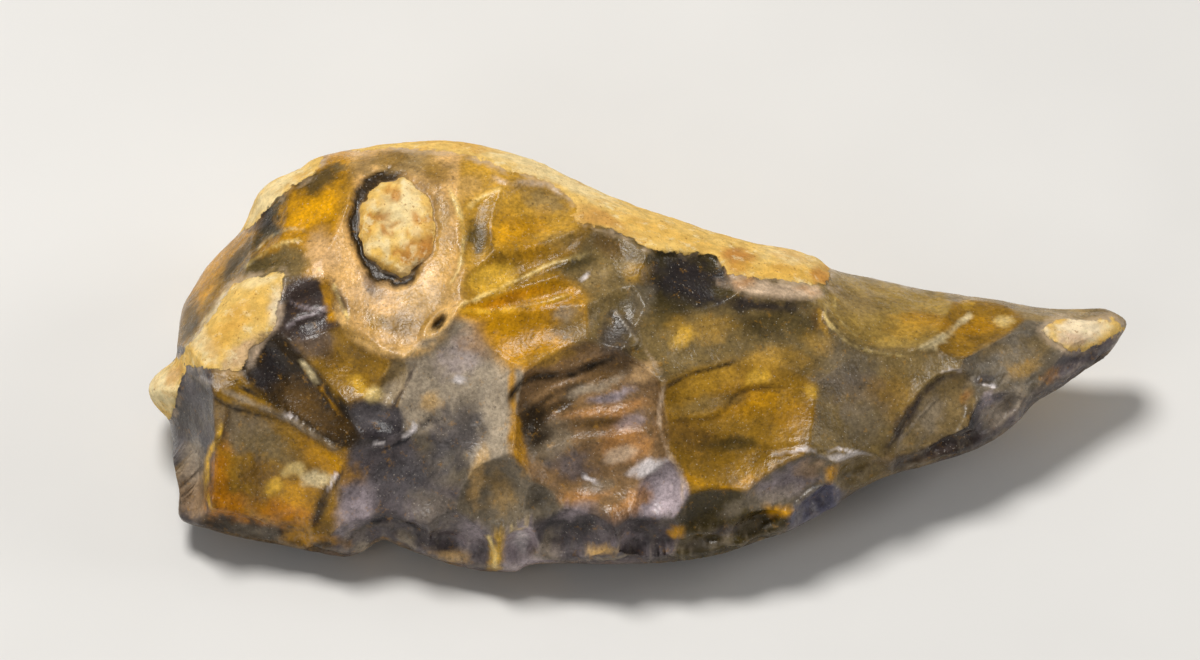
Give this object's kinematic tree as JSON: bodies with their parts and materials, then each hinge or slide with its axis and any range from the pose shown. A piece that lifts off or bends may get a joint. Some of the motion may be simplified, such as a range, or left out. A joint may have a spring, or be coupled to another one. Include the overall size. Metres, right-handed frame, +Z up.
{
  "type": "stone hand axe",
  "caption": "Flaked flint hand axe with a thick butt that keeps its tan skin, a sharp lower margin and a narrow point.",
  "frame": {"origin": "middle of the stone's footprint, on the surface that it lies on", "axes": "+X from the butt along the stone to its point, +Z up, square to the surface that it lies on; the worked face looks towards -Y and up"},
  "size_m": [0.1416, 0.0696, 0.0378],
  "materials": {
    "flint": "waxy"
  },
  "bodies": {
    "root": {"hand_axe": "flint"}
  },
  "joints": []
}
